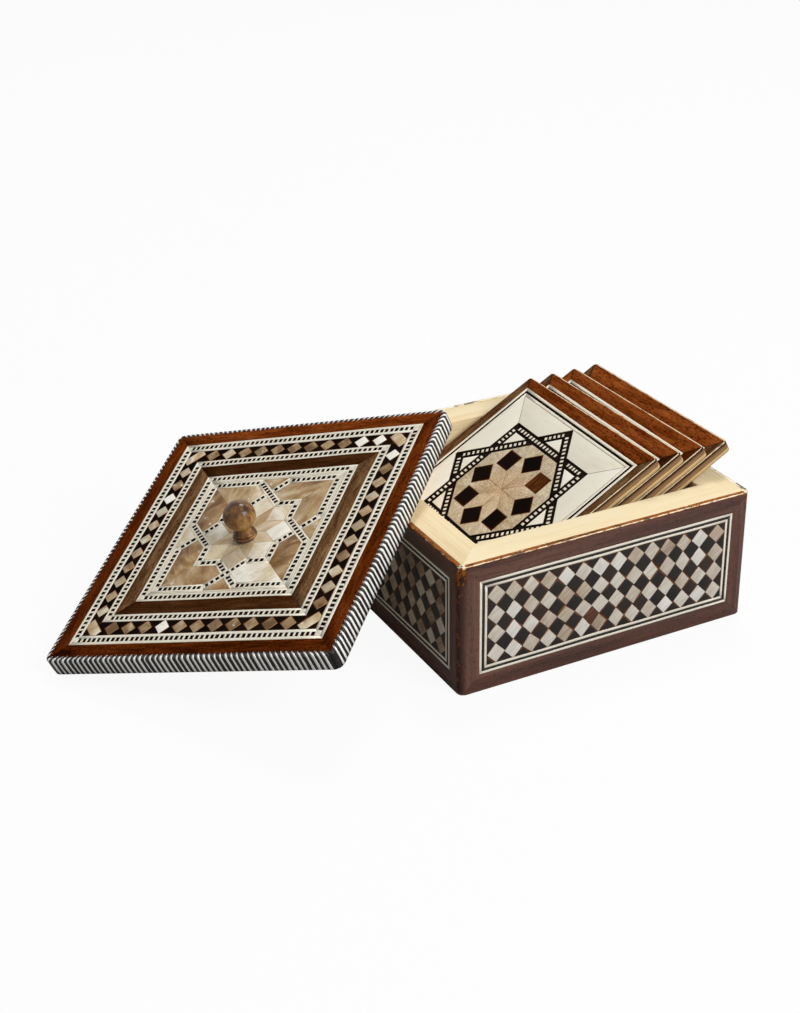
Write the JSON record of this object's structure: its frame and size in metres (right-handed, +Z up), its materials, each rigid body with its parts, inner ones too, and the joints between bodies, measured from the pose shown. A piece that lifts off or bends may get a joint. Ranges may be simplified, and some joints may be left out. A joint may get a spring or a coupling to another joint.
{
  "type": "inlaid box with coasters",
  "caption": "Square inlaid wooden box with mother-of-pearl mosaic sides, a lid with a turned knob and star marquetry leaning on it, and matching square star coasters standing in it.",
  "frame": {"origin": "centre of the underside of the box, on the surface it stands on", "axes": "+Z up, +X from the side that the lid leans on to the side that the coasters lean on, -Y the front side seen in full"},
  "size_m": [0.26, 0.1784, 0.0807],
  "materials": {
    "pale_wood": "planed and bare, slightly worn at the rim",
    "rosewood": "dark veneer with a satin varnish",
    "walnut": "brown veneer with a satin varnish",
    "mahogany": "red-brown veneer with a satin varnish",
    "olive_wood": "turned and glossy",
    "beige_wood": "flush marquetry, satin",
    "coaster_core": "sanded layered board",
    "ebony": "black stained wood, satin",
    "glue": "brown glue and filler between the tiles",
    "bone": "ivory-coloured bone or resin, satin",
    "pearl": "mother of pearl, polished",
    "dashes": "bone and ebony blocks in turn",
    "striped_banding": "bone and ebony stripes in turn"
  },
  "bodies": {
    "box": {"floor_board": "pale_wood", "wall_front": "pale_wood", "wall_right": "pale_wood", "wall_back": "pale_wood", "wall_left": "pale_wood", "frame_front": "rosewood", "frame_right": "rosewood", "frame_back": "rosewood", "frame_left": "rosewood", "side_grounds": "glue", "side_pale_lines": "bone", "side_black_lines": "ebony", "light_tiles": "pearl", "dark_tiles": "ebony", "coaster_5_board": "coaster_core", "coaster_5_frame": "mahogany", "coaster_5_ivory": "bone", "coaster_5_black": "ebony", "coaster_5_medallion": "beige_wood", "coaster_6_board": "coaster_core", "coaster_6_frame": "mahogany", "coaster_6_ivory": "bone", "coaster_6_black": "ebony", "coaster_6_medallion": "beige_wood"},
    "lid": {"lid_core": "pale_wood", "lid_locating_panel": "pale_wood", "lid_banding": "striped_banding", "lid_mahogany_frame": "mahogany", "lid_pale_lines": "bone", "lid_dash_rows": "dashes", "lid_band_ground": "ebony", "lid_band_pearls": "pearl", "lid_walnut_frame": "walnut", "lid_star_ribbon": "dashes", "lid_corner_pearls": "pearl", "lid_side_pearls": "pearl", "lid_star_pearls": "pearl", "lid_centre_pearls": "pearl", "lid_knob": "olive_wood"},
    "coaster_1": {"coaster_1_board": "coaster_core", "coaster_1_frame": "mahogany", "coaster_1_ivory": "bone", "coaster_1_black": "ebony", "coaster_1_medallion": "beige_wood"},
    "coaster_2": {"coaster_2_board": "coaster_core", "coaster_2_frame": "mahogany", "coaster_2_ivory": "bone", "coaster_2_black": "ebony", "coaster_2_medallion": "beige_wood"},
    "coaster_3": {"coaster_3_board": "coaster_core", "coaster_3_frame": "mahogany", "coaster_3_ivory": "bone", "coaster_3_black": "ebony", "coaster_3_medallion": "beige_wood"},
    "coaster_4": {"coaster_4_board": "coaster_core", "coaster_4_frame": "mahogany", "coaster_4_ivory": "bone", "coaster_4_black": "ebony", "coaster_4_medallion": "beige_wood"}
  },
  "joints": [
    {"name": "lid_lift", "type": "slide", "parent": "box", "child": "lid", "axis": [0, 0, 1], "range_m": [0, 0.12]},
    {"name": "coaster_1_slide", "type": "slide", "parent": "box", "child": "coaster_1", "axis": [0.8761, 0, 0.4821], "range_m": [0, 0.13]},
    {"name": "coaster_2_slide", "type": "slide", "parent": "box", "child": "coaster_2", "axis": [0.8761, 0, 0.4821], "range_m": [0, 0.13]},
    {"name": "coaster_3_slide", "type": "slide", "parent": "box", "child": "coaster_3", "axis": [0.8761, 0, 0.4821], "range_m": [0, 0.13]},
    {"name": "coaster_4_slide", "type": "slide", "parent": "box", "child": "coaster_4", "axis": [0.8761, 0, 0.4821], "range_m": [0, 0.13]}
  ]
}
